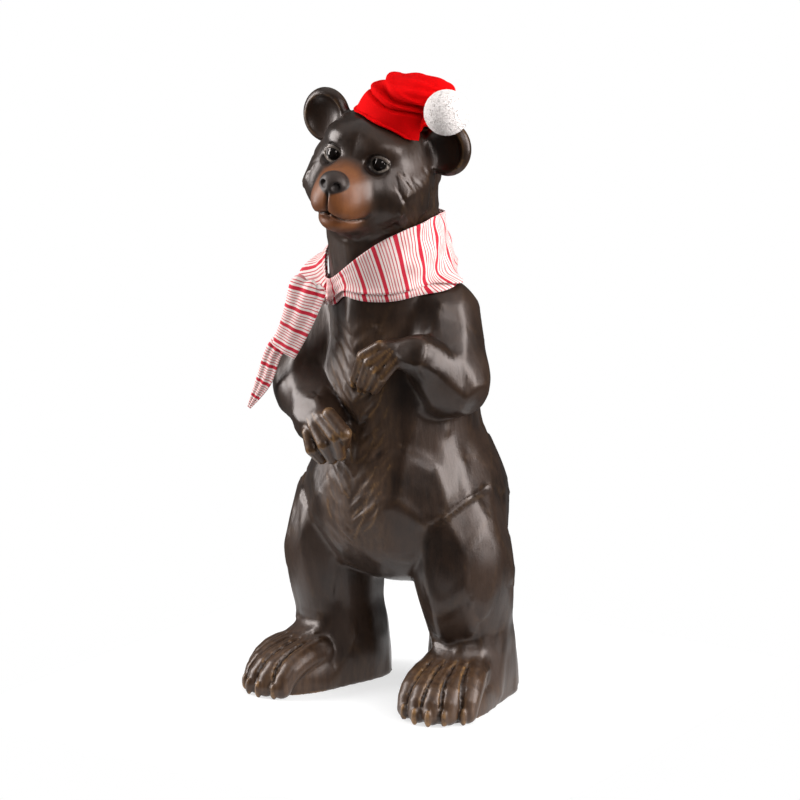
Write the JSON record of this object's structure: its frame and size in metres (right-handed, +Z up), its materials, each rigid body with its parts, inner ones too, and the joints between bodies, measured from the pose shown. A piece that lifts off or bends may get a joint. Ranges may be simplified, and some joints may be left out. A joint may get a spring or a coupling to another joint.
{
  "type": "standing bear statue",
  "caption": "Upright cast bear with carved-looking fur, paws held at the chest, wearing a cloth cap with a pompom and a tied striped neck scarf.",
  "frame": {"origin": "on the floor, under the middle of the whole figure's box", "axes": "+Z up, -Y the way the bear's body faces, +X the bear's own left side"},
  "size_m": [0.3451, 0.3081, 0.8031],
  "materials": {
    "bear_casting": "dark brown painted resin, rubbed lighter on carved edges, glossy",
    "scarf_cloth": "woven cotton, white with red stripes",
    "hat_felt": "red felt, matte",
    "pompom_yarn": "white tufted yarn"
  },
  "bodies": {
    "root": {"bear": "bear_casting", "scarf": "scarf_cloth", "hat": "hat_felt", "pompom": "pompom_yarn"}
  },
  "joints": []
}
